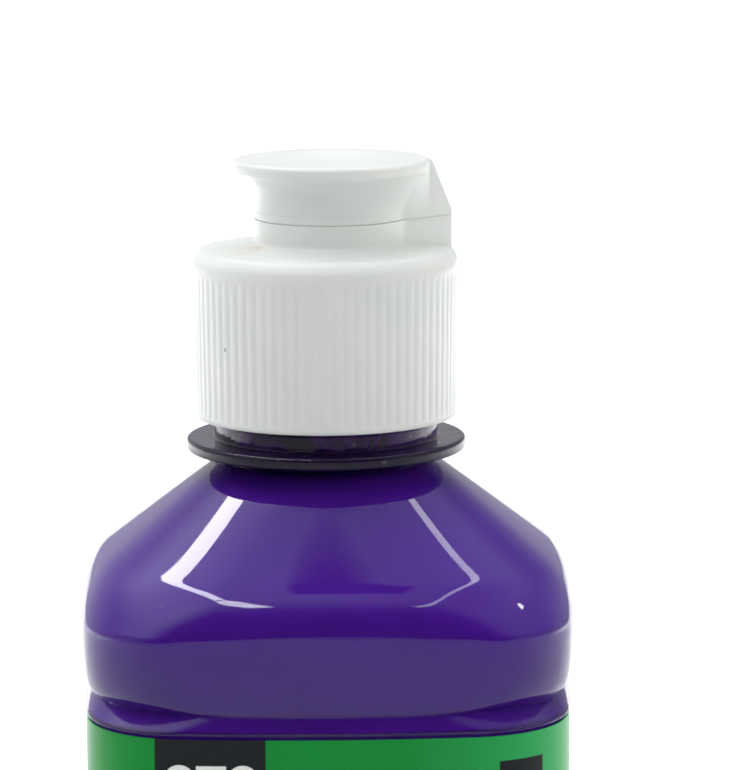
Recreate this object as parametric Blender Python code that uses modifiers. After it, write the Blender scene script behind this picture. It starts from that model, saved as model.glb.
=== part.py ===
"""Squeeze bottle of poster paint with a flip-top screw closure.

Metres, +Z up.  The origin is the centre of the bottle's foot, and the front of the label faces -Y.
The closure has a frame of its own: its origin is the centre of the skirt's lower edge, and it is
turned about +Z so that the lid's hinge lies on the frame's +X side.
"""
from math import cos, degrees, pi, radians, sin, sqrt, tan

import bmesh
import bpy
from mathutils import Matrix, Vector

MM = 0.001
GAP = 0.3 * MM                      # clearance left between two pieces that touch
MERGE = 0.000001

# Bottle body: rounded squares, blow moulded in one wall
BODY_WIDTH = 58.6 * MM              # across the shoulder bulge and the base band
PANEL_WIDTH = 57.6 * MM             # across the label panel
GROOVE_WIDTH = 56.4 * MM            # across the grooves above and below the panel
BODY_CORNER = 13.0 * MM             # corner radius of the bulge and the base band
FOOT_CORNER = 5.0 * MM              # least corner radius, under the bottle
GROOVE_CORNER = 18.0 * MM
PANEL_CORNER = 12.0 * MM
BODY_BOW = radians(8.0)             # half angle of a bowed side of the bulge
PANEL_BOW = radians(6.0)
WALL = 0.6 * MM
SHOULDER_TOP = 97.3 * MM            # height where the shoulder meets the neck
SHOULDER_SLOPE = radians(37.3)
SHOULDER_ROUND = 7.4 * MM           # radius that turns the slope into the upright side
SHOULDER_CORNER = 18.4 * MM         # the shoulder is round above this radius
CORNER_FADE = 5.6                   # how late on its way down the shoulder turns square
UPPER_GROOVE_Z = 72.0 * MM
LOWER_GROOVE_Z = 15.5 * MM
BAND_TOP = 8.5 * MM                 # where the base band starts to fall in to its groove
PANEL_STEP = 1.2 * MM               # height over which a groove opens to the panel
HEEL_RADIUS = 5.0 * MM
FOOT_WIDTH = 4.0 * MM               # width of the flat ring that the bottle stands on
PUSH_UP = 4.0 * MM
PUSH_UP_WIDTH = 18.0 * MM
SIDE_SEGMENTS = 4
CORNER_SEGMENTS = 8

# Wrap-round label in its recess
LABEL_TOP = 69.5 * MM
LABEL_BOTTOM = 19.0 * MM
LABEL_THICKNESS = 0.2 * MM
RECESS_DEPTH = 0.5 * MM
RECESS_EDGE = 0.3 * MM              # margin above and below the label

# Neck finish for a 28 mm closure, with a support ring
NECK_RADIUS = 12.45 * MM
BORE_RADIUS = 10.85 * MM
NECK_ROOT = 0.5 * MM                # how far the neck's wall reaches below the shoulder's top
FINISH_HEIGHT = 21.1 * MM           # underside of the support ring to the mouth
RING_RADIUS = 16.5 * MM
RING_THICKNESS = 1.45 * MM
RING_LIFT = 0.8 * MM                # shoulder's top to the underside of the support ring
EDGE_ROUND = 0.4 * MM
THREAD_RADIUS = 13.7 * MM
THREAD_PITCH = 3.18 * MM
THREAD_TURNS = 1.8
THREAD_TOP = 2.7 * MM               # mouth to the middle of the thread's upper end
THREAD_ROOT_WIDTH = 2.0 * MM
THREAD_CREST_WIDTH = 0.9 * MM
NECK_STEPS = 48
FILL_LEVEL = 108.0 * MM

# Closure skirt and deck, heights from the skirt's lower edge
HINGE_AZIMUTH = radians(40.0)
SKIRT_LIFT = 2.45 * MM              # support ring to the skirt
SKIRT_BOTTOM_RADIUS = 15.43 * MM
SKIRT_TOP_RADIUS = 15.65 * MM
SKIRT_EDGE = 0.7 * MM
RIB_COUNT = 75
RIB_DEPTH = 0.25 * MM
RIB_TOP = 17.3 * MM
SHOULDER_Z = 18.4 * MM              # where the skirt's side turns in to the deck
DECK_ROUND = 1.45 * MM
DECK_RISE = 0.75 * MM
DECK_THICKNESS = 1.25 * MM
INNER_THREAD_RADIUS = 13.05 * MM
INNER_THREAD_TURNS = 1.25
INNER_ROOT_WIDTH = 1.4 * MM
INNER_CREST_WIDTH = 0.7 * MM
LINER_THICKNESS = 0.8 * MM
LINER_BORE = 8.6 * MM
LINER_MARGIN = 0.4 * MM

# Turret on the deck: a round stem with a hinge block
TURRET_OFFSET = 1.0 * MM            # stem's axis from the cap's axis, towards the hinge
TURRET_RADIUS = 9.1 * MM
TURRET_TOP = 23.35 * MM
TURRET_WALL = 1.5 * MM
TURRET_PLATE = 1.4 * MM
BLOCK_WIDTH = 16.0 * MM
BLOCK_RADIUS = 15.25 * MM
STEM_STEPS = 48
NOZZLE_RADIUS = 3.1 * MM
NOZZLE_TIP_RADIUS = 2.7 * MM
NOZZLE_BORE = 1.75 * MM
NOZZLE_TOP = 27.0 * MM
RIM_HEIGHT = 0.8 * MM               # ring on the turret that centres the lid
RIM_WIDTH = 1.0 * MM

# Lid
LID_STEM_RADIUS = 8.9 * MM
LID_WALL = 1.4 * MM
DISC_RADIUS = 11.6 * MM
DISC_TOP = 30.35 * MM
DISC_EDGE = 1.35 * MM               # thickness of the disc at its rim
COVE_HEIGHT = 1.6 * MM
DISH_RADIUS = 8.6 * MM
DISH_DEPTH = 0.8 * MM
LID_PLATE = 1.2 * MM
BACK_TOP_RADIUS = 12.6 * MM         # cone of the lid's back, at the height of the disc
BACK_BOTTOM = 23.9 * MM
PIN_LENGTH = 2.6 * MM

# Living hinge: a thin film in a notch of the block
HINGE_X = 14.9 * MM
HINGE_Z = 23.5 * MM
FILM_WIDTH = 6.4 * MM
FILM_HEIGHT = 1.0 * MM
FILM_THICKNESS = 0.3 * MM

# Values worked out from those above
HALF_BODY = BODY_WIDTH / 2
HALF_PANEL = PANEL_WIDTH / 2
HALF_GROOVE = GROOVE_WIDTH / 2
RING_BOTTOM = SHOULDER_TOP + RING_LIFT
RING_TOP = RING_BOTTOM + RING_THICKNESS
MOUTH_Z = RING_BOTTOM + FINISH_HEIGHT
CLOSURE_Z = RING_TOP + SKIRT_LIFT
CAVITY_RADIUS = THREAD_RADIUS + GAP
CAVITY_TOP = MOUTH_Z - CLOSURE_Z + LINER_THICKNESS + 2 * GAP
DECK_EDGE = SHOULDER_Z + DECK_ROUND
LID_BOTTOM = TURRET_TOP + GAP
LID_CAVITY = LID_STEM_RADIUS - LID_WALL


def collection(name):
    made = bpy.data.collections.new(name)
    bpy.context.scene.collection.children.link(made)
    return made


for old in list(bpy.data.objects):
    bpy.data.objects.remove(old, do_unlink=True)
PARTS = collection("squeeze_bottle")
CUTTERS = collection("cutters")


def material(name, colour, roughness, alpha=1.0):
    made = bpy.data.materials.new(name)
    made.use_nodes = True
    shader = made.node_tree.nodes["Principled BSDF"]
    shader.inputs["Base Color"].default_value = (*colour, 1.0)
    shader.inputs["Roughness"].default_value = roughness
    shader.inputs["Metallic"].default_value = 0.0
    shader.inputs["Alpha"].default_value = alpha
    return made


def add_object(name, mesh, group=PARTS, parent=None, location=(0, 0, 0)):
    made = bpy.data.objects.new(name, mesh)
    group.objects.link(made)
    made.parent = parent
    made.location = location
    if group is CUTTERS:
        made.hide_render = True
        made.display_type = "WIRE"
    return made


def mesh_from(bm, name):
    mesh = bpy.data.meshes.new(name)
    bm.to_mesh(mesh)
    bm.free()
    mesh.shade_smooth()
    mesh.set_sharp_from_angle(angle=radians(30))
    return mesh


def turned(name, profile, steps, closed=False, **placing):
    """A profile of (radius, height) points, top to bottom on its outer side, turned about Z."""
    bm = bmesh.new()
    verts = [bm.verts.new((radius, 0, z)) for radius, z in profile]
    for first, second in zip(verts, verts[1:]):
        bm.edges.new((first, second))
    if closed:
        bm.edges.new((verts[-1], verts[0]))
    mesh = bpy.data.meshes.new(name)
    bm.to_mesh(mesh)
    bm.free()
    made = add_object(name, mesh, **placing)
    screw = made.modifiers.new("Turn", "SCREW")
    screw.axis = "Z"
    screw.steps = steps
    screw.render_steps = steps
    screw.use_merge_vertices = True
    screw.merge_threshold = MERGE
    screw.use_smooth_shade = True
    return made


def box(name, low, high, **placing):
    bm = bmesh.new()
    centre = (Vector(low) + Vector(high)) / 2
    size = Vector(high) - Vector(low)
    bmesh.ops.create_cube(bm, size=1, matrix=Matrix.Translation(centre) @ Matrix.Diagonal((*size, 1)))
    return add_object(name, mesh_from(bm, name), **placing)


def boolean(target, other, operation):
    modifier = target.modifiers.new(other.name, "BOOLEAN")
    modifier.operation = operation
    modifier.solver = "EXACT"
    modifier.object = other


def arc(centre_r, centre_z, radius, start, stop, steps):
    """Points of (radius, height) on an arc; angles in degrees from +X towards +Z."""
    angles = [radians(start + (stop - start) * i / steps) for i in range(steps + 1)]
    return [(centre_r + radius * cos(a), centre_z + radius * sin(a)) for a in angles]


def section(half, z, corner, bow):
    """One level of the body: a rounded square whose sides bow out on arcs of half angle `bow`."""
    corner = min(corner, half)
    side = (half - corner * (cos(bow) - sin(bow))) / (1 + sin(bow) - cos(bow))
    centre = (side - corner) * sin(bow)
    quarter = []
    for i in range(SIDE_SEGMENTS // 2):
        a = bow * i / (SIDE_SEGMENTS // 2)
        quarter.append((half - side + side * cos(a), side * sin(a)))
    for i in range(CORNER_SEGMENTS):
        a = bow + (pi / 2 - 2 * bow) * i / CORNER_SEGMENTS
        quarter.append((centre + corner * cos(a), centre + corner * sin(a)))
    for i in range(SIDE_SEGMENTS // 2):
        a = pi / 2 - bow + bow * i / (SIDE_SEGMENTS // 2)
        quarter.append((side * cos(a), half - side + side * sin(a)))
    points = []
    for turn in range(4):
        c, s = cos(turn * pi / 2), sin(turn * pi / 2)
        points += [(x * c - y * s, x * s + y * c, z) for x, y in quarter]
    return points


def add_ring(bm, points, below=None):
    ring = [bm.verts.new(p) for p in points]
    if below:
        for i, vert in enumerate(ring):
            bm.faces.new((below[i - 1], below[i], vert, ring[i - 1]))
    return ring


def fall(z_wide, z_groove):
    """Levels of the quarter ellipse by which a band falls in to its groove."""
    levels = []
    for t in (0.0, 0.45, 0.8, 1.0):
        round_in = sqrt(1 - t * t)
        half = HALF_GROOVE + (HALF_BODY - HALF_GROOVE) * round_in
        corner = GROOVE_CORNER + (BODY_CORNER - GROOVE_CORNER) * round_in
        bow = PANEL_BOW + (BODY_BOW - PANEL_BOW) * round_in
        levels.append((half, z_wide + (z_groove - z_wide) * t, corner, bow))
    return levels


def foot_levels():
    """Levels from the push-up to the top of the heel, inset evenly from the base band."""
    foot = HALF_BODY - HEEL_RADIUS
    outline = [(PUSH_UP_WIDTH / 2, PUSH_UP), (foot - FOOT_WIDTH, 0)]
    outline += arc(foot, HEEL_RADIUS, HEEL_RADIUS, -90, 0, 3)
    return [(half, z, max(FOOT_CORNER, BODY_CORNER - (HALF_BODY - half)), BODY_BOW)
            for half, z in outline]


def panel_levels():
    """Levels of the label panel, with the recess that takes the label."""
    low, high = LABEL_BOTTOM - RECESS_EDGE, LABEL_TOP + RECESS_EDGE
    outline = [(HALF_PANEL, LOWER_GROOVE_Z + PANEL_STEP), (HALF_PANEL - RECESS_DEPTH, low),
               (HALF_PANEL - RECESS_DEPTH, high), (HALF_PANEL, UPPER_GROOVE_Z - PANEL_STEP)]
    return [(half, z, PANEL_CORNER, PANEL_BOW) for half, z in outline]


def shoulder_levels(neck_half):
    """Levels from the upper groove over the bulge to where the shoulder is `neck_half`."""
    turn_half = HALF_BODY - SHOULDER_ROUND
    slope_end = turn_half + SHOULDER_ROUND * sin(SHOULDER_SLOPE)
    slope_end_z = SHOULDER_TOP - (slope_end - NECK_RADIUS) * tan(SHOULDER_SLOPE)
    turn_z = slope_end_z - SHOULDER_ROUND * cos(SHOULDER_SLOPE)
    outline = arc(turn_half, turn_z, SHOULDER_ROUND, 0, 90 - degrees(SHOULDER_SLOPE), 3)[1:]
    for half in (SHOULDER_CORNER, neck_half):
        outline.append((half, SHOULDER_TOP - (half - NECK_RADIUS) * tan(SHOULDER_SLOPE)))
    levels = fall(turn_z, UPPER_GROOVE_Z)[::-1]
    for half, z in outline:
        down = max(0, (SHOULDER_TOP - z) / (SHOULDER_TOP - turn_z)) ** CORNER_FADE
        corner = SHOULDER_CORNER + (BODY_CORNER - SHOULDER_CORNER) * down
        levels.append((half, z, corner, BODY_BOW))
    return levels


def body_levels(neck_half):
    """(half width, height, corner, bow) from the push-up to where the shoulder is `neck_half`."""
    return (foot_levels() + fall(BAND_TOP, LOWER_GROOVE_Z) + panel_levels()
            + shoulder_levels(neck_half))


def loft(levels, close_bottom=True):
    """Skin the levels; returns the bmesh and its uppermost ring."""
    bm = bmesh.new()
    ring = add_ring(bm, section(*levels[0]))
    if close_bottom:
        bm.faces.new(reversed(ring))
    for level in levels[1:]:
        ring = add_ring(bm, section(*level), ring)
    bm.normal_update()
    return bm, ring


def thread(name, wall, crest, root_width, crest_width, top, turns, phase=0.0, **placing):
    """Right-hand helical ridge from inside the wall to its crest, running out at both ends."""
    outward = 1 if crest > wall else -1
    steps = round(turns * NECK_STEPS)
    run_out = NECK_STEPS / 12
    buried = wall - outward * 2 * GAP
    bm = bmesh.new()
    ring = None
    for i in range(steps + 1):
        full = min(1.0, (0.2 + i) / run_out, (0.2 + steps - i) / run_out)
        radius = wall + (crest - wall) * full
        z = top - (steps - i) / NECK_STEPS * THREAD_PITCH
        angle = 2 * pi * i / NECK_STEPS + phase
        corners = [(buried, -root_width / 2), (radius, -crest_width / 2),
                   (radius, crest_width / 2), (buried, root_width / 2)][::outward]
        points = [(r * cos(angle), r * sin(angle), z + rise) for r, rise in corners]
        if ring is None:
            ring = [bm.verts.new(p) for p in points]
            bm.faces.new(ring)
        else:
            ring = add_ring(bm, points, ring)
    bm.faces.new(reversed(ring))
    bmesh.ops.recalc_face_normals(bm, faces=bm.faces)
    return add_object(name, mesh_from(bm, name), group=CUTTERS, **placing)


def make_bottle():
    neck_middle = (NECK_RADIUS + BORE_RADIUS) / 2
    bm, _ = loft(body_levels(neck_middle))
    bottle = add_object("bottle_body", mesh_from(bm, "bottle_body"))
    bottle.data.materials.append(material("clear_pet", (0.82, 0.84, 0.88), 0.05, alpha=0.35))
    shell = bottle.modifiers.new("Wall", "SOLIDIFY")
    shell.thickness = WALL
    shell.offset = -1
    shell.use_even_offset = True
    neck = turned("neck_finish", [
        (BORE_RADIUS + EDGE_ROUND, MOUTH_Z), (NECK_RADIUS - EDGE_ROUND, MOUTH_Z),
        (NECK_RADIUS, MOUTH_Z - EDGE_ROUND), (NECK_RADIUS, RING_TOP),
        (RING_RADIUS - EDGE_ROUND, RING_TOP), (RING_RADIUS, RING_TOP - EDGE_ROUND),
        (RING_RADIUS, RING_BOTTOM + EDGE_ROUND), (RING_RADIUS - EDGE_ROUND, RING_BOTTOM),
        (NECK_RADIUS, RING_BOTTOM), (NECK_RADIUS, SHOULDER_TOP - NECK_ROOT),
        (BORE_RADIUS, SHOULDER_TOP - NECK_ROOT), (BORE_RADIUS, MOUTH_Z - EDGE_ROUND),
    ], NECK_STEPS, closed=True, group=CUTTERS)
    boolean(bottle, neck, "UNION")
    ridge = thread("neck_thread", NECK_RADIUS, THREAD_RADIUS, THREAD_ROOT_WIDTH,
                   THREAD_CREST_WIDTH, MOUTH_Z - THREAD_TOP, THREAD_TURNS)
    boolean(bottle, ridge, "UNION")


def make_paint():
    """The paint: the bottle's inside, one clearance off its wall, up to the fill level."""
    bm, ring = loft(body_levels(NECK_RADIUS + WALL / 2))
    inset = WALL + GAP
    moves = [(v, v.normal * inset * v.calc_shell_factor()) for v in bm.verts]
    for vert, move in moves:
        vert.co -= move
    radius = BORE_RADIUS - GAP
    for z in (ring[0].co.z, FILL_LEVEL):
        ring = add_ring(bm, section(radius, z, radius, BODY_BOW), ring)
    bm.faces.new(ring)
    paint = add_object("paint_fill", mesh_from(bm, "paint_fill"))
    paint.data.materials.append(material("purple_paint", (0.075, 0.022, 0.22), 0.35))


def make_label():
    half = HALF_PANEL - RECESS_DEPTH + GAP + LABEL_THICKNESS
    levels = [(half, z, PANEL_CORNER, PANEL_BOW) for z in (LABEL_BOTTOM, LABEL_TOP)]
    bm, _ = loft(levels, close_bottom=False)
    label = add_object("wrap_label", mesh_from(bm, "wrap_label"))
    label.data.materials.append(material("printed_film", (0.0, 0.22, 0.04), 0.3))
    sleeve = label.modifiers.new("Film", "SOLIDIFY")
    sleeve.thickness = LABEL_THICKNESS
    sleeve.offset = -1
    sleeve.use_even_offset = True


def ribbed_ring(radius, z, depth):
    """One level of the skirt; a depth above nothing cuts a groove between every two ribs."""
    count = 2 * RIB_COUNT
    points = []
    for i in range(count):
        r = radius - depth * (i % 2)
        points.append((r * cos(2 * pi * i / count), r * sin(2 * pi * i / count), z))
    return points


def make_block(name, radius_low, radius_high, low, high, closure):
    """The hinge block: a slab out from the stem, rounded at the back about the cap's axis."""
    slab = box(name, (TURRET_OFFSET, -BLOCK_WIDTH / 2, low),
               (radius_low + MM, BLOCK_WIDTH / 2, high), group=CUTTERS, parent=closure)
    knee = max(low, BACK_BOTTOM)
    reach = radius_low + (radius_high - radius_low) * (high + MM - knee) / (DISC_TOP - knee)
    back = [(0, high + MM), (reach, high + MM), (radius_low, knee), (radius_low, low - MM),
            (0, low - MM)]
    if radius_high == radius_low:
        del back[2]
    boolean(slab, turned(name + "_back", back, STEM_STEPS * 2, group=CUTTERS, parent=closure),
            "INTERSECT")
    flat = box(name + "_flat", (HINGE_X, -BLOCK_WIDTH, low - MM),
               (radius_low + 2 * MM, BLOCK_WIDTH, high + MM), group=CUTTERS, parent=closure)
    boolean(slab, flat, "DIFFERENCE")
    return slab


def make_cap(closure, white):
    bm = bmesh.new()
    ring = add_ring(bm, ribbed_ring(SKIRT_BOTTOM_RADIUS - EDGE_ROUND, 0, 0))
    bm.faces.new(reversed(ring))
    ring = add_ring(bm, ribbed_ring(SKIRT_BOTTOM_RADIUS, SKIRT_EDGE, RIB_DEPTH), ring)
    ring = add_ring(bm, ribbed_ring(SKIRT_TOP_RADIUS, RIB_TOP, RIB_DEPTH), ring)
    shoulder = arc(SKIRT_TOP_RADIUS - DECK_ROUND, SHOULDER_Z, DECK_ROUND, 0, 90, 2)
    for radius, z in shoulder + [(TURRET_RADIUS, DECK_EDGE + DECK_RISE)]:
        ring = add_ring(bm, ribbed_ring(radius, z, 0), ring)
    bm.faces.new(ring)
    cap = add_object("cap_base", mesh_from(bm, "cap_base"), parent=closure)
    cap.data.materials.append(white)

    tools = {"group": CUTTERS, "parent": closure}
    centre = {**tools, "location": (TURRET_OFFSET, 0, 0)}
    stem = turned("turret_stem", [
        (0, TURRET_TOP), (TURRET_RADIUS, TURRET_TOP), (TURRET_RADIUS, DECK_EDGE - DECK_THICKNESS / 2),
        (0, DECK_EDGE - DECK_THICKNESS / 2)], STEM_STEPS, **centre)
    boolean(cap, stem, "UNION")
    block = make_block("turret_block", BLOCK_RADIUS, BLOCK_RADIUS, RIB_TOP, TURRET_TOP, closure)
    boolean(cap, block, "UNION")
    notch_low = HINGE_Z - FILM_HEIGHT / 2 - GAP
    boolean(cap, box("cap_notch", (HINGE_X - FILM_THICKNESS - GAP, -FILM_WIDTH / 2 - GAP, notch_low),
                     (HINGE_X + 2 * MM, FILM_WIDTH / 2 + GAP, TURRET_TOP + MM), **tools),
            "DIFFERENCE")
    well = TURRET_TOP - TURRET_PLATE
    cavity = turned("skirt_cavity", [
        (0, CAVITY_TOP), (CAVITY_RADIUS, CAVITY_TOP), (CAVITY_RADIUS, -MM), (0, -MM)],
        NECK_STEPS, **tools)
    boolean(cap, cavity, "DIFFERENCE")
    inner_top = MOUTH_Z - CLOSURE_Z - THREAD_TOP - THREAD_PITCH / 2
    # The neck's thread ends at this angle, and the cap's thread follows it half a pitch lower
    meet = 2 * pi * (THREAD_TURNS - INNER_THREAD_TURNS) - HINGE_AZIMUTH
    boolean(cap, thread("cap_thread", CAVITY_RADIUS, INNER_THREAD_RADIUS, INNER_ROOT_WIDTH,
                        INNER_CREST_WIDTH, inner_top, INNER_THREAD_TURNS, phase=meet,
                        parent=closure), "UNION")
    hollow = TURRET_RADIUS - TURRET_WALL
    boolean(cap, turned("turret_well", [
        (0, well), (hollow, well), (hollow, CAVITY_TOP - MM), (0, CAVITY_TOP - MM)],
        STEM_STEPS, **centre), "DIFFERENCE")
    rim = LID_CAVITY - GAP
    boolean(cap, turned("centring_rim", [
        (rim, TURRET_TOP + RIM_HEIGHT), (rim, TURRET_TOP - MM), (rim - RIM_WIDTH, TURRET_TOP - MM),
        (rim - RIM_WIDTH, TURRET_TOP + RIM_HEIGHT)], STEM_STEPS, closed=True, **centre), "UNION")
    boolean(cap, turned("nozzle", [
        (0, NOZZLE_TOP), (NOZZLE_TIP_RADIUS, NOZZLE_TOP), (NOZZLE_RADIUS, TURRET_TOP - MM),
        (0, TURRET_TOP - MM)], STEM_STEPS // 2, **centre), "UNION")
    boolean(cap, turned("nozzle_bore", [
        (0, NOZZLE_TOP + MM), (NOZZLE_BORE, NOZZLE_TOP + MM), (NOZZLE_BORE, well - MM),
        (0, well - MM)], STEM_STEPS // 2, **centre), "DIFFERENCE")


def make_film(closure, white):
    half = Vector((FILM_THICKNESS / 2, FILM_WIDTH / 2, FILM_HEIGHT / 2))
    film = box("living_hinge", -half, half, parent=closure,
               location=(HINGE_X - FILM_THICKNESS / 2, 0, HINGE_Z))
    film.data.materials.append(white)


def make_lid(closure, white):
    """The lid turns about its origin, which lies on the film at the back of the block."""
    low = LID_BOTTOM
    block = make_block("lid_block", BLOCK_RADIUS, BACK_TOP_RADIUS, low,
                       DISC_TOP - DISH_DEPTH - GAP, closure)
    rim_low = DISC_TOP - DISC_EDGE
    cove = rim_low - COVE_HEIGHT
    round_edge = DISC_EDGE / 3
    profile = [(0, DISC_TOP - DISH_DEPTH), (DISH_RADIUS * 0.7, DISC_TOP - DISH_DEPTH * 0.75),
               (DISH_RADIUS, DISC_TOP - DISH_DEPTH * 0.2), (DISC_RADIUS - DISC_EDGE, DISC_TOP),
               (DISC_RADIUS - round_edge, DISC_TOP - round_edge / 2),
               (DISC_RADIUS, DISC_TOP - DISC_EDGE / 2), (DISC_RADIUS - round_edge, rim_low),
               (LID_STEM_RADIUS + round_edge, cove + COVE_HEIGHT / 2), (LID_STEM_RADIUS, cove),
               (LID_STEM_RADIUS, low), (0, low)]
    lid_mesh = bpy.data.meshes.new("flip_lid")
    lid = add_object("flip_lid", lid_mesh, parent=closure, location=(HINGE_X, 0, HINGE_Z))
    lid.data.materials.append(white)
    tools = {"group": CUTTERS, "parent": closure}
    centre = {**tools, "location": (TURRET_OFFSET, 0, 0)}
    boolean(lid, turned("lid_stem", profile, STEM_STEPS, **centre), "UNION")
    boolean(lid, block, "UNION")
    notch_high = HINGE_Z + FILM_HEIGHT / 2 + GAP
    boolean(lid, box("lid_notch", (HINGE_X - FILM_THICKNESS - GAP, -FILM_WIDTH / 2 - GAP, low - MM),
                     (HINGE_X + 2 * MM, FILM_WIDTH / 2 + GAP, notch_high), **tools),
            "DIFFERENCE")
    ceiling = DISC_TOP - DISH_DEPTH - LID_PLATE
    pin = NOZZLE_BORE - GAP
    tip = ceiling - PIN_LENGTH
    # The cutter of the lid's hollow leaves the sealing pin standing at its middle
    boolean(lid, turned("lid_cavity", [
        (0, tip), (pin - GAP, tip), (pin, tip + GAP), (pin, ceiling), (LID_CAVITY, ceiling),
        (LID_CAVITY, low - MM), (0, low - MM)], STEM_STEPS, **centre), "DIFFERENCE")


def make_liner(closure):
    outer = CAVITY_RADIUS - LINER_MARGIN
    top = CAVITY_TOP - GAP
    liner = turned("liner_ring", [
        (outer, top), (outer, top - LINER_THICKNESS), (LINER_BORE, top - LINER_THICKNESS),
        (LINER_BORE, top)], NECK_STEPS, closed=True, parent=closure)
    liner.data.materials.append(material("foam_liner", (0.86, 0.86, 0.84), 0.8))


def make_closure():
    closure = bpy.data.objects.new("closure", None)
    PARTS.objects.link(closure)
    closure.location = (0, 0, CLOSURE_Z)
    closure.rotation_euler = (0, 0, HINGE_AZIMUTH)
    white = material("white_polypropylene", (0.78, 0.82, 0.8), 0.32)
    make_cap(closure, white)
    make_film(closure, white)
    make_lid(closure, white)
    make_liner(closure)


make_bottle()
make_paint()
make_label()
make_closure()
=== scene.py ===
"""Looks of a squeeze bottle of poster paint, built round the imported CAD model.

Metres, +Z up, label front towards -Y.  Every piece is a loft of rings that repeats the CAD model's
sizes with finer shapes: the clear bottle, the paint in it, its label, the ribbed cap, the flip lid
and the film hinge between them.  Only the liner ring keeps its CAD solid.
"""
from math import cos, pi, radians, sin, sqrt, tan

import bpy
import numpy as np
from mathutils import Matrix, Vector


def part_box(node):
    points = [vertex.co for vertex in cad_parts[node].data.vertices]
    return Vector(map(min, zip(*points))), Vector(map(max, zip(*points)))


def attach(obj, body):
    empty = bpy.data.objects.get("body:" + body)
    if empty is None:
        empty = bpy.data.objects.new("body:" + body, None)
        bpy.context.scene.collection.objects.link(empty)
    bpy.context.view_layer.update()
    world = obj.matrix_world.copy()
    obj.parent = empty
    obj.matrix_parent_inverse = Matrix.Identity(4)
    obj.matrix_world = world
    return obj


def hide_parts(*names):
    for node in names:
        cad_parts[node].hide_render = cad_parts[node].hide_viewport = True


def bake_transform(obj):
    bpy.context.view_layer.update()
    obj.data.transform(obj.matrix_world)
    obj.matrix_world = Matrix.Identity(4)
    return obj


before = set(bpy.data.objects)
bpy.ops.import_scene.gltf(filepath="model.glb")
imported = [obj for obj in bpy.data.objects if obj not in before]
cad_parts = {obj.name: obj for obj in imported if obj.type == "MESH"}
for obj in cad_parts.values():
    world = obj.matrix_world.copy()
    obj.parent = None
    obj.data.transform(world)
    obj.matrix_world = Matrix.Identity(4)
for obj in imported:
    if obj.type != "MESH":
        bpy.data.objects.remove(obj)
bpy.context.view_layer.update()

MM = 0.001

# Bottle body, as in the CAD model
HALF_BODY, HALF_PANEL, HALF_GROOVE = 29.3 * MM, 28.8 * MM, 28.2 * MM
BODY_CORNER, FOOT_CORNER, GROOVE_CORNER, PANEL_CORNER = 13 * MM, 5 * MM, 18 * MM, 12 * MM
BODY_BOW, PANEL_BOW = radians(8), radians(6)
WALL = 0.6 * MM
SHOULDER_TOP = 97.3 * MM
SHOULDER_SLOPE = radians(37.3)
SHOULDER_ROUND = 7.4 * MM
SHOULDER_CORNER = 18.4 * MM   # corner radius where the slope starts to roll into the side
CORNER_FADE = 5.6             # how late the roll takes on the body's own corner radius
NECK_FILLET = 1.2 * MM
SHOULDER_STEPS, ROLL_STEPS, HEEL_STEPS = 28, 20, 12
UPPER_GROOVE_Z, LOWER_GROOVE_Z, BAND_TOP = 72 * MM, 15.5 * MM, 8.5 * MM
PANEL_STEP = 1.2 * MM
HEEL_RADIUS, FOOT_WIDTH, PUSH_UP, PUSH_UP_WIDTH = 5 * MM, 4 * MM, 4 * MM, 18 * MM
RECESS_DEPTH, RECESS_EDGE, LIP = 0.5 * MM, 0.15 * MM, 0.45 * MM
LABEL_LOW, LABEL_HIGH = (corner.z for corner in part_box("wrap_label"))
LABEL_THICKNESS, LABEL_SINK = 0.2 * MM, 0.1 * MM   # the label's inner side sinks into the wall
PAINT_GAP = 0.08 * MM   # the paint's skin lies this far inside the wall's material

# Neck finish
NECK_RADIUS, BORE_RADIUS = 12.45 * MM, 10.85 * MM
MOUTH_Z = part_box("bottle_body")[1].z
RING_BOTTOM = MOUTH_Z - 21.1 * MM
RING_TOP = RING_BOTTOM + 1.45 * MM
RING_RADIUS = 16.5 * MM
BEAD_RADIUS, BEAD_TOP = 13.2 * MM, RING_TOP + 2.3 * MM   # a low bead, drawn here only
THREAD_RADIUS, THREAD_PITCH, THREAD_TURNS = 13.7 * MM, 3.18 * MM, 1.8
THREAD_TOP = 2.7 * MM   # below the mouth
THREAD_ROOT, THREAD_CREST = 2.0 * MM, 0.9 * MM
FILL_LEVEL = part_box("paint_fill")[1].z
SEAM = 0.02 * MM   # between the body and the neck finish, so their faces do not lie together

# Closure, heights from the skirt's lower edge
HINGE_AZIMUTH = radians(40)
CLOSURE_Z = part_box("cap_base")[0].z
SKIRT_BOTTOM_RADIUS, SKIRT_TOP_RADIUS = 15.43 * MM, 15.65 * MM
RIB_COUNT, RIB_STEPS, RIB_DEPTH = 75, 8, 0.10 * MM
RIB_BOTTOM, RIB_TOP = 0.7 * MM, 17.3 * MM
SHOULDER_Z, DECK_ROUND, DECK_RISE = 18.4 * MM, 1.45 * MM, 0.75 * MM
CAVITY_RADIUS = THREAD_RADIUS + 0.3 * MM
CAVITY_TOP = 18.6 * MM
INNER_THREAD_RADIUS, INNER_THREAD_TURNS = 13.05 * MM, 1.25
INNER_THREAD_ROOT, INNER_THREAD_CREST = 1.4 * MM, 0.7 * MM
FOOT_FILLET = 0.35 * MM   # where the turret and the hinge block meet the deck
EDGE_GAP = 0.02 * MM      # the least width of deck left outside them
TURRET_OFFSET = 1.0 * MM
TURRET_RADIUS, TURRET_TOP, TURRET_WALL, TURRET_PLATE = 9.1 * MM, 23.35 * MM, 1.5 * MM, 1.4 * MM
BLOCK_HALF, BLOCK_RADIUS = 8 * MM, 15.25 * MM
NOZZLE_RADIUS, NOZZLE_TIP_RADIUS, NOZZLE_BORE, NOZZLE_TOP = 3.1 * MM, 2.7 * MM, 1.75 * MM, 27 * MM
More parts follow.
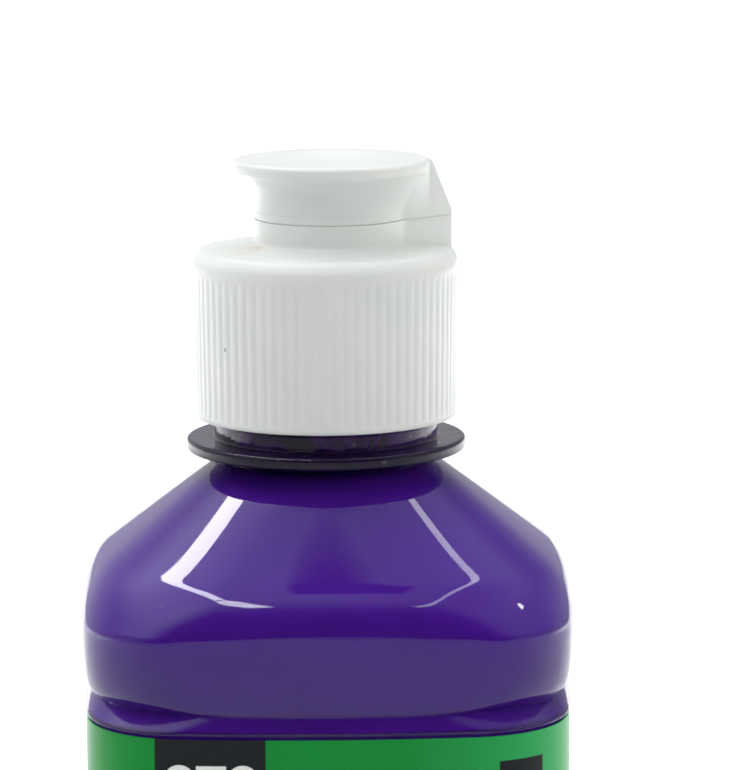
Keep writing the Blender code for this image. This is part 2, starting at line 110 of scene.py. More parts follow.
RIM_HEIGHT, RIM_WIDTH = 0.8 * MM, 1.0 * MM
LID_BOTTOM = TURRET_TOP + 0.03 * MM   # the visible parting line is finer than the CAD gap
LID_STEM_RADIUS, LID_CAVITY = 8.9 * MM, 7.5 * MM
DISC_RADIUS, DISC_EDGE, DISC_TOP = 11.6 * MM, 1.35 * MM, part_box("flip_lid")[1].z - CLOSURE_Z
BACK_TOP_RADIUS, BACK_BOTTOM = 12.6 * MM, 23.9 * MM
DISH_RADIUS, DISH_DEPTH, DISH_SHIFT = 8.6 * MM, 0.8 * MM, -0.6 * MM
DISH_LEAD = 0.12   # the share of the dish's depth that lies in the slope round it
LID_PLATE, PIN_LENGTH = 1.2 * MM, 2.6 * MM
HINGE_X, HINGE_Z = 14.9 * MM, 23.5 * MM
FILM_WIDTH, FILM_THICKNESS = 6.4 * MM, 0.3 * MM
NOTCH_X, NOTCH_HALF = HINGE_X - FILM_THICKNESS - 0.3 * MM, FILM_WIDTH / 2 + 0.3 * MM
NOTCH_LOW, NOTCH_HIGH = HINGE_Z - 0.8 * MM, HINGE_Z + 0.8 * MM

SIDE_POINTS, CORNER_POINTS = 12, 24

# Colours
PAINT_DEEP, PAINT_PALE = (0.053, 0.007, 0.225, 1), (0.065, 0.010, 0.275, 1)
BUBBLE = (0.22, 0.14, 0.45, 1)
# the neck's dark colour is painted shade for the shadowed paint seen through the thick plastic; the
# smear and dust colours are real
NECK_PAINTED_SHADE, SMEAR, DUST = (0.026, 0.015, 0.06, 1), (0.10, 0.016, 0.25, 1), (0.35, 0.33, 0.4, 1)
GREEN, GREEN_FADED = (0.0, 0.25, 0.030, 1), (0.001, 0.28, 0.04, 1)
# painted light: a lighter green for the label's right-hand end, where light from the right falls on
# it
GREEN_PAINTED_LIT = (0.03, 0.42, 0.12, 1)
INK, PRINT_WHITE = (0.008, 0.012, 0.014, 1), (0.85, 0.87, 0.85, 1)
PRINT_PURPLE = (0.062, 0.014, 0.235, 1)
PLASTIC_SHADE, PLASTIC_WHITE = (0.75, 0.78, 0.76, 1), (0.80, 0.82, 0.80, 1)
OLD_PAINT, SPECK = (0.66, 0.52, 0.33, 1), (0.10, 0.11, 0.12, 1)
FOAM_SHADE, FOAM_WHITE = (0.82, 0.82, 0.8, 1), (0.9, 0.9, 0.88, 1)
FLOOR_SHADE, FLOOR_LIGHT = (0.68, 0.68, 0.68, 1), (0.70, 0.70, 0.70, 1)
STAIN = (-8.6 * MM, -5.5 * MM, CLOSURE_Z + 19.2 * MM)   # old paint at the foot of the turret

# Camera and studio
CAMERA_PLACE, LENS, SENSOR = (0, -0.4928, 0.1864), 197.73, 36.0
CAMERA_PITCH, CAMERA_YAW, CAMERA_ROLL = radians(9.33), radians(0.532), radians(-0.35)
FLOOR_HALF = 8.0
TUBE_HEIGHT, LEFT_TUBE_TURN, RIGHT_TUBE_TURN = 0.99, radians(13.7), radians(-9)
FILL_SIZE = 0.8
COOL, WARM = (0.97, 1.0, 0.99), (1.0, 0.985, 0.94)


# Shapes

def add_piece(name, mesh, body, slot, material, *nodes):
    piece = bpy.data.objects.new(name, mesh)
    bpy.context.scene.collection.objects.link(piece)
    piece.data.materials.append(material)
    if body:
        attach(piece, body)
    if nodes:
        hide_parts(*nodes)
    return piece


def loft(name, rings, cap_first=False, cap_last=False, loop=False, sharp=40):
    """Skin rings of equal length that run anticlockwise, upwards on the outside."""
    rings = np.array(rings)
    count, around, _ = rings.shape
    index = np.arange(count * around).reshape(count, around)
    lower, upper = (index, np.roll(index, -1, 0)) if loop else (index[:-1], index[1:])
    quads = np.stack([lower, np.roll(lower, -1, 1), np.roll(upper, -1, 1), upper], -1)
    faces = quads.reshape(-1, 4).tolist()
    if cap_first:
        faces.append(index[0][::-1].tolist())
    if cap_last:
        faces.append(index[-1].tolist())
    mesh = bpy.data.meshes.new(name)
    mesh.from_pydata(rings.reshape(-1, 3).tolist(), [], faces)
    mesh.shade_smooth()
    mesh.set_sharp_from_angle(angle=radians(sharp))
    return mesh


def soften(rows, steps=5):
    """Round a profile's corners. A row is radius, height, other values, and its rounding last."""
    rows = np.array(rows, float)
    out = [rows[0, :-1]]
    for before, here, after in zip(rows, rows[1:], rows[2:]):
        size = here[-1]
        if size == 0:
            out.append(here[:-1])
            continue
        ends = []
        for other in (before, after):
            length = np.hypot(*(other - here)[:2])
            ends.append((here + (other - here) * min(size / length, 0.48))[:-1])
        for t in np.linspace(0, 1, steps + 1):
            out.append((1 - t) ** 2 * ends[0] + 2 * t * (1 - t) * here[:-1] + t * t * ends[1])
    out.append(rows[-1, :-1])
    return np.array(out)


def refine(rows, longest):
    """Split a profile's long steps."""
    out = [rows[0]]
    for a, b in zip(rows, rows[1:]):
        pieces = max(1, int(np.ceil(np.hypot(*(b - a)[:2]) / longest)))
        out += [a + (b - a) * i / pieces for i in range(1, pieces + 1)]
    return np.array(out)


def inset(rows, depth):
    """Move a profile of (half, height, corner, bow) inwards along its normals."""
    step = np.gradient(rows[:, :2], axis=0)
    step /= np.hypot(step[:, 0], step[:, 1])[:, None]
    moved = rows.copy()
    moved[:, 0] -= depth * step[:, 1]
    moved[:, 1] += depth * step[:, 0]
    moved[:, 2] = np.maximum(moved[:, 2] - depth * step[:, 1], MM)
    return moved


def section(half, z, corner, bow):
    """A rounded square whose sides bow out on arcs of half angle `bow`."""
    corner = min(corner, half)
    side = (half - corner * (cos(bow) - sin(bow))) / (1 + sin(bow) - cos(bow))
    centre = (side - corner) * sin(bow)
    a = bow * np.arange(SIDE_POINTS) / SIDE_POINTS
    start = np.stack([half - side + side * np.cos(a), side * np.sin(a)])
    c = bow + (pi / 2 - 2 * bow) * np.arange(CORNER_POINTS) / CORNER_POINTS
    middle = centre + corner * np.stack([np.cos(c), np.sin(c)])
    b = pi / 2 - bow + a
    end = np.stack([side * np.cos(b), half - side + side * np.sin(b)])
    x, y = np.concatenate([start, middle, end], 1)
    turned = [(x, y), (-y, x), (-x, -y), (y, -x)]
    xs, ys = (np.concatenate([pair[i] for pair in turned]) for i in (0, 1))
    return np.stack([xs, ys, np.full(xs.size, z)], -1)


def fall(z_wide, z_groove, steps=16):
    """Profile rows that roll from the full width into a groove."""
    rows = []
    for t in np.sin(np.linspace(0, pi / 2, steps)):
        wide = sqrt(1 - t * t)
        rows.append((HALF_GROOVE + (HALF_BODY - HALF_GROOVE) * wide,
                     z_wide + (z_groove - z_wide) * t,
                     GROOVE_CORNER + (BODY_CORNER - GROOVE_CORNER) * wide,
                     PANEL_BOW + (BODY_BOW - PANEL_BOW) * wide, 0))
    return rows


def body_rows():
    """The body's outer profile: (half width, height, corner radius, bow) from push-up to neck."""
    foot = HALF_BODY - HEEL_RADIUS
    rows = [(PUSH_UP_WIDTH / 2, PUSH_UP, FOOT_CORNER, BODY_BOW, 0),
            (foot - FOOT_WIDTH, 0, FOOT_CORNER, BODY_BOW, 1.5 * MM)]
    for a in np.linspace(-pi / 2, 0, HEEL_STEPS):
        half = foot + HEEL_RADIUS * cos(a)
        corner = max(FOOT_CORNER, BODY_CORNER - (HALF_BODY - half))
        rows.append((half, HEEL_RADIUS * (1 + sin(a)), corner, BODY_BOW, 0))
    rows += fall(BAND_TOP, LOWER_GROOVE_Z)[:-1]
    rows.append((HALF_GROOVE, LOWER_GROOVE_Z, GROOVE_CORNER, PANEL_BOW, 0.5 * MM))
    low, high = LABEL_LOW - RECESS_EDGE, LABEL_HIGH + RECESS_EDGE
    floor = HALF_PANEL - RECESS_DEPTH
    for half, z, rounding in (
            (HALF_PANEL, LOWER_GROOVE_Z + PANEL_STEP, 0.5), (HALF_PANEL, low - LIP, 0.3),
            (floor, low, 0.1), (floor, high, 0.1), (HALF_PANEL, high + LIP, 0.3)):
        rows.append((half, z, PANEL_CORNER, PANEL_BOW, rounding * MM))
    rows.append((HALF_GROOVE, UPPER_GROOVE_Z, GROOVE_CORNER, PANEL_BOW, 0.5 * MM))
    turn_half = HALF_BODY - SHOULDER_ROUND
    slope_end = turn_half + SHOULDER_ROUND * sin(SHOULDER_SLOPE)
    turn_z = (SHOULDER_TOP - (slope_end - NECK_RADIUS) * tan(SHOULDER_SLOPE)
              - SHOULDER_ROUND * cos(SHOULDER_SLOPE))
    rows += fall(turn_z, UPPER_GROOVE_Z)[::-1][1:]
    shoulder = []
    for a in np.linspace(0, pi / 2 - SHOULDER_SLOPE, ROLL_STEPS)[1:]:
        shoulder.append((turn_half + SHOULDER_ROUND * cos(a), turn_z + SHOULDER_ROUND * sin(a)))
    for half in np.linspace(slope_end, NECK_RADIUS, SHOULDER_STEPS)[1:]:
        shoulder.append((half, SHOULDER_TOP - (half - NECK_RADIUS) * tan(SHOULDER_SLOPE)))
    # The corners' centres move out evenly from the round neck, so each corner is a straight ridge
    spread = (slope_end - SHOULDER_CORNER) / (slope_end - NECK_RADIUS)
    for half, z in shoulder:
        down = max(0, (SHOULDER_TOP - z) / (SHOULDER_TOP - turn_z)) ** CORNER_FADE
        corner = half - (half - NECK_RADIUS) * spread
        corner += (BODY_CORNER - corner) * down
        rows.append((half, z, corner, BODY_BOW, NECK_FILLET if half == NECK_RADIUS else 0))
    return rows


def helix_ridge(angles, z, top, turns, root, crest, steps_out=0.5):
    """How far a thread's ridge stands up, 0 to 1, at these angles and this height."""
    ridge = np.zeros(angles.size)
    for turn in range(-1, int(turns) + 2):
        along = angles + 2 * pi * turn
        inside = (along >= 0) & (along <= 2 * pi * turns)
        middle = top - (2 * pi * turns - along) / (2 * pi) * THREAD_PITCH
        away = np.abs(z - middle)
        flank = np.clip((root / 2 - away) / ((root - crest) / 2), 0, 1)
        ends = np.clip(np.minimum(along, 2 * pi * turns - along) / steps_out, 0, 1)
        ridge = np.maximum(ridge, np.where(inside, flank * ends, 0))
    return ridge


def make_bottle(material):
    """The blown body: its outside, then its inside, up to where the neck finish starts."""
    neck = (NECK_RADIUS, RING_BOTTOM - SEAM, NECK_RADIUS, BODY_BOW, 0)
    outside = refine(soften(body_rows() + [neck]), 0.9 * MM)
    inner = inset(refine(soften(body_rows()[::-1]), 1.2 * MM), -WALL)
    inner = inner[inner[:, 0] < inner[:, 0].max() + MM]
    inner = inner[inner[:, 1] < SHOULDER_TOP - WALL]
    lip = [(BORE_RADIUS, z, BORE_RADIUS, BODY_BOW) for z in (RING_BOTTOM - SEAM, SHOULDER_TOP)]
    rings = [section(*row) for row in np.concatenate([outside, lip, inner])]
    mesh = loft("bottle_shell", rings, cap_first=True, cap_last=True)
    return add_piece("bottle_shell", mesh, "bottle", "clear_pet", material, "bottle_body")


def make_neck(material):
    """The moulded neck finish: support ring, thread and mouth."""
    rows = [(r, z, r, BODY_BOW, rounding * MM) for r, z, rounding in (
        (NECK_RADIUS, RING_BOTTOM, 0), (RING_RADIUS, RING_BOTTOM, 0.45),
        (RING_RADIUS, RING_TOP, 0.45), (BEAD_RADIUS, RING_TOP, 0.25), (BEAD_RADIUS, BEAD_TOP, 0.5),
        (NECK_RADIUS, BEAD_TOP, 0.2), (NECK_RADIUS, MOUTH_Z, 0.4),
        (BORE_RADIUS, MOUTH_Z, 0.4), (BORE_RADIUS, RING_BOTTOM, 0))]
    rings = [section(*row) for row in refine(soften(rows), 0.3 * MM)]
    for ring in rings:
        z = ring[0, 2]
        if z > BEAD_TOP + 0.1 * MM and np.hypot(ring[0, 0], ring[0, 1]) > NECK_RADIUS - 0.1 * MM:
            angles = np.arctan2(ring[:, 1], ring[:, 0]) % (2 * pi)
            rise = helix_ridge(angles, z, MOUTH_Z - THREAD_TOP, THREAD_TURNS,
                               THREAD_ROOT, THREAD_CREST)
            ring[:, :2] *= 1 + rise[:, None] * (THREAD_RADIUS / NECK_RADIUS - 1)
    mesh = loft("neck_finish", rings, loop=True)
    return add_piece("neck_finish", mesh, "bottle", "clear_pet", material, "bottle_body")


def make_paint(material):
    """The paint wets the wall: its skin lies just inside the clear plastic."""
    rows = refine(soften(body_rows()), 1.0 * MM)
    rows = inset(rows, WALL - PAINT_GAP)
    rows = rows[rows[:, 1] < SHOULDER_TOP - WALL]
    column = BORE_RADIUS + 0.05 * MM
    top = np.array([(column, z, column, BODY_BOW)
                    for z in np.linspace(SHOULDER_TOP - WALL, FILL_LEVEL, 14)])
    rings = [section(*row) for row in np.concatenate([rows, top])]
    mesh = loft("paint", rings, cap_first=True, cap_last=True)
    return add_piece("paint", mesh, "bottle", "purple_paint", material, "paint_fill")


def make_label(material):
    """The printed film, a thin sleeve round the recessed panel."""
    half = HALF_PANEL - RECESS_DEPTH + LABEL_SINK
    rings = []
    for grow, z in ((0, LABEL_LOW), (LABEL_THICKNESS, LABEL_LOW), (LABEL_THICKNESS, LABEL_HIGH),
                    (0, LABEL_HIGH)):
        rings.append(section(half + grow, z, PANEL_CORNER + grow, PANEL_BOW))
    mesh = loft("label", rings, loop=True)
    return add_piece("label", mesh, "bottle", "printed_film", material, "wrap_label")


# Closure shapes. Rings are polar about the cap's axis, with the hinge at angle 0

ANGLES = 2 * pi * np.arange(RIB_COUNT * RIB_STEPS) / (RIB_COUNT * RIB_STEPS)
PLACE = Matrix.Translation((0, 0, CLOSURE_Z)) @ Matrix.Rotation(HINGE_AZIMUTH, 4, "Z")


def smooth_max(a, b, width):
    mix = np.clip(0.5 + 0.5 * (a - b) / width, 0, 1)
    return b + (a - b) * mix + width * mix * (1 - mix)


def smooth_min(a, b, width):
    return -smooth_max(-a, -b, width)


def circle(radius, z, shift=0.0):
    """A ring about the cap's axis, or one moved by `shift` towards the hinge."""
    return np.stack([shift + radius * np.cos(ANGLES), radius * np.sin(ANGLES),
                     np.zeros(ANGLES.size) + z], -1)


def stem_radius(radius):
    """Distance from the cap's axis of a stem that stands off it towards the hinge."""
    across = np.sqrt(radius ** 2 - (TURRET_OFFSET * np.sin(ANGLES)) ** 2)
    return TURRET_OFFSET * np.cos(ANGLES) + across


def block_radius(back, notched=False):
    """Distance from the cap's axis of the hinge block, nothing in front of the axis."""
    ahead = np.maximum(np.cos(ANGLES), 1e-6)
    side = BLOCK_HALF / np.maximum(np.abs(np.sin(ANGLES)), 1e-6)
    reach = smooth_min(side, np.full(ANGLES.size, back), 0.5 * MM)
    reach = np.minimum(reach, HINGE_X / ahead)
    if notched:
        inside = np.abs(NOTCH_X * np.tan(ANGLES)) < NOTCH_HALF
        reach = np.where(inside & (np.cos(ANGLES) > 0), np.minimum(reach, NOTCH_X / ahead), reach)
    return np.where(np.cos(ANGLES) > 0.02, reach, 0)


def closure_mesh(name, rings, **ends):
    """Loft a closure piece, then turn it to its hinge's side and lift it onto the bottle."""
    mesh = loft(name, rings, **ends)
    mesh.transform(PLACE)
    return mesh


def deck_height(radius):
    """The domed deck's height at a distance from the cap's axis."""
    edge = SKIRT_TOP_RADIUS - DECK_ROUND
    past = np.maximum(radius - edge, 0)
    rounding = SHOULDER_Z + np.sqrt(np.maximum(DECK_ROUND ** 2 - past ** 2, 0))
    rise = DECK_RISE * np.clip((edge - radius) / (edge - TURRET_RADIUS), 0, 1.1)
    return rounding + rise


def make_cap(material):
    """The ribbed skirt, deck, turret with its hinge block, nozzle and inner thread, as one skin."""
    groove = (0.5 - 0.5 * np.cos(RIB_COUNT * ANGLES)) ** 2
    rings = [circle(SKIRT_BOTTOM_RADIUS - 0.4 * MM, 0),
             circle(SKIRT_BOTTOM_RADIUS - 0.12 * MM, 0.12 * MM),
             circle(SKIRT_BOTTOM_RADIUS, 0.42 * MM)]
    full_depth = [(z, 1) for z in np.linspace(2 * MM, RIB_TOP - 0.9 * MM, 8)]
    for z, depth in ((RIB_BOTTOM, 0), (RIB_BOTTOM + 0.35 * MM, 1), *full_depth,
                     (RIB_TOP - 0.3 * MM, 0.7), (RIB_TOP, 0)):
        wide = SKIRT_BOTTOM_RADIUS + (SKIRT_TOP_RADIUS - SKIRT_BOTTOM_RADIUS) * z / SHOULDER_Z
        rings.append(circle(wide - groove * depth * RIB_DEPTH, z))
    rings.append(circle(SKIRT_TOP_RADIUS, SHOULDER_Z))
    foot = smooth_max(stem_radius(TURRET_RADIUS), block_radius(BLOCK_RADIUS), 0.3 * MM)
    widest = SKIRT_TOP_RADIUS - EDGE_GAP
    deck_end = np.minimum(foot + FOOT_FILLET, widest)
    for t in np.linspace(0, 1, 22)[1:]:
        ease = 1 - (1 - t) ** 1.8
        radius = SKIRT_TOP_RADIUS + (deck_end - SKIRT_TOP_RADIUS) * ease
        rings.append(circle(radius, deck_height(radius)))
    base = deck_height(deck_end)
    for a in np.linspace(0, pi / 2, 5)[1:]:
        spare = np.minimum(FOOT_FILLET, widest - foot)
        rings.append(circle(foot + spare * (1 - sin(a)), base + FOOT_FILLET * (1 - cos(a))))
    rings.append(circle(foot, NOTCH_LOW))
    notched = smooth_max(stem_radius(TURRET_RADIUS), block_radius(BLOCK_RADIUS, True), 0.3 * MM)
    notched = np.minimum(notched, foot)
    rings += [circle(notched, NOTCH_LOW), circle(notched, TURRET_TOP - 0.03 * MM),
              circle(notched - 0.03 * MM, TURRET_TOP)]
    rim, well = LID_CAVITY - 0.3 * MM, TURRET_TOP - TURRET_PLATE
    hollow = TURRET_RADIUS - TURRET_WALL
    rim_top = TURRET_TOP + RIM_HEIGHT
    for radius, z in ((rim, TURRET_TOP), (rim, rim_top - 0.15 * MM),
                      (rim - 0.15 * MM, rim_top), (rim - RIM_WIDTH, rim_top),
                      (rim - RIM_WIDTH, TURRET_TOP), (NOZZLE_RADIUS + 0.3 * MM, TURRET_TOP),
                      (NOZZLE_RADIUS, TURRET_TOP + 0.3 * MM),
                      (NOZZLE_TIP_RADIUS, NOZZLE_TOP - 0.3 * MM),
                      (NOZZLE_TIP_RADIUS - 0.3 * MM, NOZZLE_TOP),
                      (NOZZLE_BORE + 0.15 * MM, NOZZLE_TOP),
                      (NOZZLE_BORE, NOZZLE_TOP - 0.15 * MM), (NOZZLE_BORE, well), (hollow, well),
                      (hollow, CAVITY_TOP)):
        rings.append(circle(radius, z, TURRET_OFFSET))
    top = MOUTH_Z - CLOSURE_Z - THREAD_TOP - THREAD_PITCH / 2
    meet = 2 * pi * (THREAD_TURNS - INNER_THREAD_TURNS) - HINGE_AZIMUTH
    for z in (CAVITY_TOP, *np.arange(CAVITY_TOP - 2 * MM, 0, -0.4 * MM), 0):
        ridge = helix_ridge((ANGLES - meet) % (2 * pi), z, top, INNER_THREAD_TURNS,
                            INNER_THREAD_ROOT, INNER_THREAD_CREST)
        rings.append(circle(CAVITY_RADIUS - ridge * (CAVITY_RADIUS - INNER_THREAD_RADIUS), z))
    mesh = closure_mesh("cap", rings, loop=True)
    return add_piece("cap", mesh, "cap", "white_polypropylene", material, "cap_base")


def make_lid(material):
    """The lid's stem, cove and dished disc, with the sealing pin inside."""
    rim_low = DISC_TOP - DISC_EDGE
    stem = stem_radius(LID_STEM_RADIUS)
    lower = smooth_max(stem, block_radius(BLOCK_RADIUS), 1.2 * MM)
    lower = np.minimum(lower, np.maximum(stem + 1.0 * MM, block_radius(BLOCK_RADIUS)))
    disc = stem_radius(DISC_RADIUS)
    # 0 on the overhanging front of the rim, 1 where the sides run up to it in one plane
    flare = np.clip((np.cos(ANGLES) + 0.25) / 0.9, 0, 1)
    flare = flare * flare * (3 - 2 * flare)

    def leaning_back(z):
        """How far out the block reaches at this height."""
        lean = max(0, (z - BACK_BOTTOM) / (DISC_TOP - BACK_BOTTOM))
        back = block_radius(BLOCK_RADIUS + (BACK_TOP_RADIUS - BLOCK_RADIUS) * lean)
        return np.where(back > 0, np.maximum(back, stem), lower)

    rings = []
    first = np.minimum(lower, smooth_max(stem, block_radius(BLOCK_RADIUS, True), 0.3 * MM))
    rings += [circle(first - 0.03 * MM, LID_BOTTOM), circle(first, LID_BOTTOM + 0.03 * MM),
              circle(first, NOTCH_HIGH)]
    heights = np.concatenate([np.linspace(NOTCH_HIGH, 27 * MM, 8),
                              np.linspace(27.2 * MM, rim_low, 12)])
    for z in heights:
        t = (z - LID_BOTTOM) / (rim_low - LID_BOTTOM)
        up = np.clip((t - 0.62) / 0.38, 0, 1)
        cove = 1 - np.sqrt(np.maximum(1 - up ** 2, 0))
        waist = -0.12 * MM * sin(pi * min(1, t / 0.8))
        share = cove * (1 - flare) + t ** 1.4 * flare
        reach = np.minimum(lower, leaning_back(z))
        rings.append(circle(reach + waist * (1 - flare) + np.maximum(disc - reach, 0) * share, z))
    end = np.hypot(rings[-1][:, 0], rings[-1][:, 1])
    rounded = DISC_EDGE * 0.55
    for a in np.linspace(0, pi, 11)[1:]:
        z = rim_low + DISC_EDGE * (0.5 - 0.5 * cos(a))
        inward = rounded * max(0, (a - pi / 2) / (pi / 2)) ** 2
        rings.append(circle(np.minimum(end, np.maximum(leaning_back(z), disc)) - inward, z))
    for t in np.linspace(0, 1, 9)[1:]:
        radius = DISC_RADIUS - rounded + (DISH_RADIUS - DISC_RADIUS + rounded) * t
        z = DISC_TOP - DISH_DEPTH * DISH_LEAD * t * t
        rings.append(circle(radius, z, TURRET_OFFSET + DISH_SHIFT * t))
    for t in np.linspace(1, 0.06, 14)[1:]:
        z = DISC_TOP - DISH_DEPTH * (DISH_LEAD + (1 - DISH_LEAD) * (1 - t ** 4))
        rings.append(circle(DISH_RADIUS * t, z, TURRET_OFFSET + DISH_SHIFT))
    ceiling = DISC_TOP - DISH_DEPTH - LID_PLATE
    pin, tip = NOZZLE_BORE - 0.3 * MM, ceiling - PIN_LENGTH
    under = []
    for radius, z in ((0.1 * MM, tip), (pin - 0.35 * MM, tip), (pin, tip + 0.35 * MM),
                      (pin, ceiling - 0.2 * MM),
                      (pin + 0.2 * MM, ceiling), (LID_CAVITY - 0.4 * MM, ceiling),
                      (LID_CAVITY, ceiling - 0.4 * MM), (LID_CAVITY, LID_BOTTOM + 0.15 * MM),
                      (LID_CAVITY + 0.15 * MM, LID_BOTTOM)):
        under.append(circle(radius, z, TURRET_OFFSET))
    mesh = closure_mesh("lid", under + rings, cap_first=True, cap_last=True)
    return add_piece("lid", mesh, "lid", "white_polypropylene", material, "flip_lid")


def make_film(material):
    """The living hinge: a waisted film from the block's notch to the lid's."""
    rings = []
    middle = HINGE_X - FILM_THICKNESS / 2
    ys = np.linspace(-FILM_WIDTH / 2, FILM_WIDTH / 2, 9)
    for z in np.linspace(NOTCH_LOW, NOTCH_HIGH, 13):
        waist = abs(z - HINGE_Z) / (NOTCH_HIGH - HINGE_Z)
        thick = FILM_THICKNESS * (0.6 + 0.8 * waist ** 3)
        low, high = middle - thick / 2, middle + thick / 2
        rings.append([(low, y, z) for y in ys[::-1]] + [(high, y, z) for y in ys])
    mesh = closure_mesh("film_hinge", rings, cap_first=True, cap_last=True)
    film = add_piece("film_hinge", mesh, None, "white_polypropylene", material, "living_hinge")
    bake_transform(film)


# Materials

def node_material(name, **sockets):
    made = bpy.data.materials.new(name)
    made.use_nodes = True
    shader = made.node_tree.nodes["Principled BSDF"]
    for socket, value in sockets.items():
        shader.inputs[socket.replace("_", " ")].default_value = value
    return made, made.node_tree, shader


def add_node(tree, kind, inputs=None, **settings):
    """A node with its settings, and its inputs linked or set."""
    node = tree.nodes.new(kind)
    for key, value in settings.items():
        setattr(node, key, value)
    for key, value in (inputs or {}).items():
        if isinstance(value, bpy.types.NodeSocket):
            tree.links.new(value, node.inputs[key])
        else:
            node.inputs[key].default_value = value
    return node


def place(tree):
    return add_node(tree, "ShaderNodeTexCoord").outputs["Object"]


def noise(tree, scale, detail=3.0, vector=None, **inputs):
    return add_node(tree, "ShaderNodeTexNoise",
                    {"Vector": vector or place(tree), "Scale": scale, "Detail": detail, **inputs})


def remap(tree, value, low, high, to_low=0.0, to_high=1.0, smooth=False):
    node = add_node(tree, "ShaderNodeMapRange",
                    {0: value, 1: low, 2: high, 3: to_low, 4: to_high}, clamp=True)
    node.interpolation_type = "SMOOTHSTEP" if smooth else "LINEAR"
    return node.outputs[0]


def blend_colour(tree, factor, a, b):
    node = add_node(tree, "ShaderNodeMix", {0: factor, 6: a, 7: b}, data_type="RGBA")
    return node.outputs[2]


def math(tree, operation, *values):
    return add_node(tree, "ShaderNodeMath", dict(enumerate(values)), operation=operation).outputs[0]


def bump(tree, shader, height, distance, strength=1.0):
    node = add_node(tree, "ShaderNodeBump",
                    {"Height": height, "Distance": distance, "Strength": strength})
    tree.links.new(node.outputs[0], shader.inputs["Normal"])


def inside(tree, value, low, high, soft=0.06 * MM):
    """1 between two values of a coordinate, with edges as soft as print."""
    return math(tree, "MULTIPLY", remap(tree, value, low - soft, low + soft),
                remap(tree, value, high - soft, high + soft, 1.0, 0.0))


def spots(tree, scale, size, share):
    """Scattered round spots: 1 inside one, in about `share` of the cells."""
    cells = add_node(tree, "ShaderNodeTexVoronoi", {"Vector": place(tree), "Scale": scale})
    chosen = add_node(tree, "ShaderNodeSeparateColor", {0: cells.outputs["Color"]}).outputs[0]
    return math(tree, "MULTIPLY", remap(tree, cells.outputs["Distance"], size, size * 0.7),
                math(tree, "GREATER_THAN", chosen, 1 - share))


def clear_plastic():
    """Thin clear PET, slightly rippled, with a few seeds in it."""
    made, tree, shader = node_material("clear_pet", Base_Color=(1, 1, 1, 1), Roughness=0.03,
                                       IOR=1.5, Transmission_Weight=1.0)
    ripple = noise(tree, 55, 1.0).outputs["Fac"]
    tree.links.new(remap(tree, noise(tree, 260, 4.0).outputs["Fac"], 0.45, 0.75, 0.02, 0.05),
                   shader.inputs["Roughness"])
    seeds = spots(tree, 420, 0.12, 0.04)
    bump(tree, shader, math(tree, "ADD", ripple, seeds), 0.02 * MM)
    return made


def neck_plastic():
    """Thick PET, darkened with painted shade for the shadowed paint seen through it, and dried
    paint is smeared over it above the support ring.
    """
    made, tree, shader = node_material("neck_pet", Roughness=0.05, IOR=1.38,
                                       Transmission_Weight=0.6)
    smears = noise(tree, 170, 5.0, Distortion=1.5).outputs["Fac"]
    height = add_node(tree, "ShaderNodeSeparateXYZ", {0: place(tree)}).outputs["Z"]
    above = remap(tree, height, RING_TOP - 0.2 * MM, RING_TOP + 0.6 * MM)
    smeared = math(tree, "MULTIPLY", remap(tree, smears, 0.42, 0.56), above)
    # Painted shade: the plastic's dark colour stands in for the shadowed paint seen through the
    # neck; the smears of dried paint on it are real
    colour = blend_colour(tree, smeared, NECK_PAINTED_SHADE, SMEAR)
    dust = spots(tree, 900, 0.3, 0.12)
    colour = blend_colour(tree, math(tree, "MULTIPLY", dust, 0.5), colour, DUST)
    tree.links.new(colour, shader.inputs["Base Color"])
    bump(tree, shader, smeared, 0.04 * MM)
    return made


def paint_material():
    """Poster paint, faintly swirled, with small bubbles against the wall."""
    made, tree, shader = node_material("purple_paint", Roughness=0.6, IOR=1.05)
    swirl = noise(tree, 38, 4.0, Distortion=0.8).outputs["Fac"]
    colour = blend_colour(tree, remap(tree, swirl, 0.3, 0.7), PAINT_DEEP, PAINT_PALE)
    bubbles = spots(tree, 420, 0.13, 0.04)
    colour = blend_colour(tree, math(tree, "MULTIPLY", bubbles, 0.3), colour, BUBBLE)
    tree.links.new(colour, shader.inputs["Base Color"])
    return made


